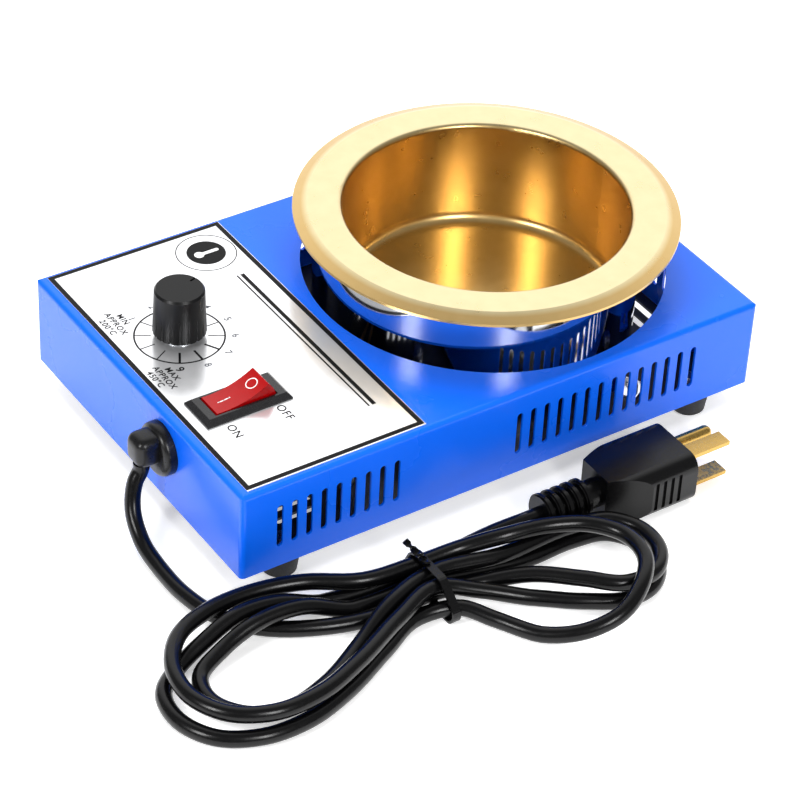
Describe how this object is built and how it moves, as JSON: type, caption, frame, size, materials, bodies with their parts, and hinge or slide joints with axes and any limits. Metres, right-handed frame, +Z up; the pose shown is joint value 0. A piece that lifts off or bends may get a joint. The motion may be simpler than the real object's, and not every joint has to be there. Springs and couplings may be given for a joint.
{
  "type": "solder pot",
  "caption": "Bench-top solder pot: slotted sheet steel case on rubber feet, thermostat knob and rocker switch, flanged pot in a polished heater jacket, tied mains cord.",
  "frame": {"origin": "floor level under the centre of the case, cord left out", "axes": "+X from the control panel to the pot, along the case's length; +Z up"},
  "size_m": [0.2572, 0.2162, 0.0673],
  "materials": {
    "blue_paint": "gloss stove enamel",
    "zinc": "zinc plated",
    "rubber": "matt",
    "label_film": "laminated print",
    "gold_coated_steel": "satin, gold-coloured coating",
    "polished_steel": "mirror polished",
    "band_steel": "brushed",
    "ceramic_fibre": "pressed fibre",
    "knob_plastic": "satin",
    "aluminium": "turned",
    "board": "solder mask",
    "nylon": "matt",
    "black_plastic": "satin",
    "yellow_plastic": "gloss",
    "ceramic_body": "matt",
    "red_plastic": "translucent gloss",
    "brass": "plain",
    "lead_pvc": "insulated wire",
    "cord_pvc": "soft gloss"
  },
  "bodies": {
    "case": {"case_cover": "blue_paint", "base_plate": "blue_paint", "cover_screws": "zinc", "foot_front_left": "rubber", "foot_front_right": "rubber", "foot_back_left": "rubber", "foot_back_right": "rubber", "foot_screws": "zinc", "foot_nuts": "zinc", "panel_label": "label_film", "pot": "gold_coated_steel", "heater_jacket": "polished_steel", "jacket_screws": "zinc", "heater_band": "band_steel", "band_clamp_screw": "zinc", "heater_terminals": "zinc", "insulation_pad": "ceramic_fibre", "heat_shield": "polished_steel", "shield_spacers": "zinc", "shield_screws": "zinc", "potentiometer_body": "zinc", "potentiometer_nut": "zinc", "circuit_board": "board", "board_spacers": "nylon", "board_screws": "zinc", "triac": "black_plastic", "heat_sink": "aluminium", "filter_capacitor": "yellow_plastic", "timing_resistors": "ceramic_body", "terminal_block": "nylon", "switch_housing": "black_plastic", "switch_terminals": "brass", "cord_gland": "black_plastic", "gland_nut": "black_plastic", "earth_stud": "zinc", "live_lead": "lead_pvc", "neutral_lead": "lead_pvc", "earth_lead": "lead_pvc", "switch_lead": "lead_pvc", "heater_lead_left": "lead_pvc", "heater_lead_right": "lead_pvc", "mains_cord": "cord_pvc", "cord_tie": "cord_pvc", "plug_body": "cord_pvc", "plug_pins": "brass"},
    "knob": {"control_knob": "knob_plastic", "potentiometer_shaft": "aluminium"},
    "rocker": {"switch_rocker": "red_plastic"}
  },
  "joints": [
    {"name": "knob_turn", "type": "hinge", "parent": "case", "child": "knob", "pos_m": [-0.078, 0.0152, 0.0533], "axis": [0, 0, 1], "range_deg": [-153, 117]},
    {"name": "switch_rock", "type": "hinge", "parent": "case", "child": "rocker", "pos_m": [-0.0793, -0.0254, 0.0426], "axis": [0, 1, 0], "range_deg": [0, 28]}
  ]
}
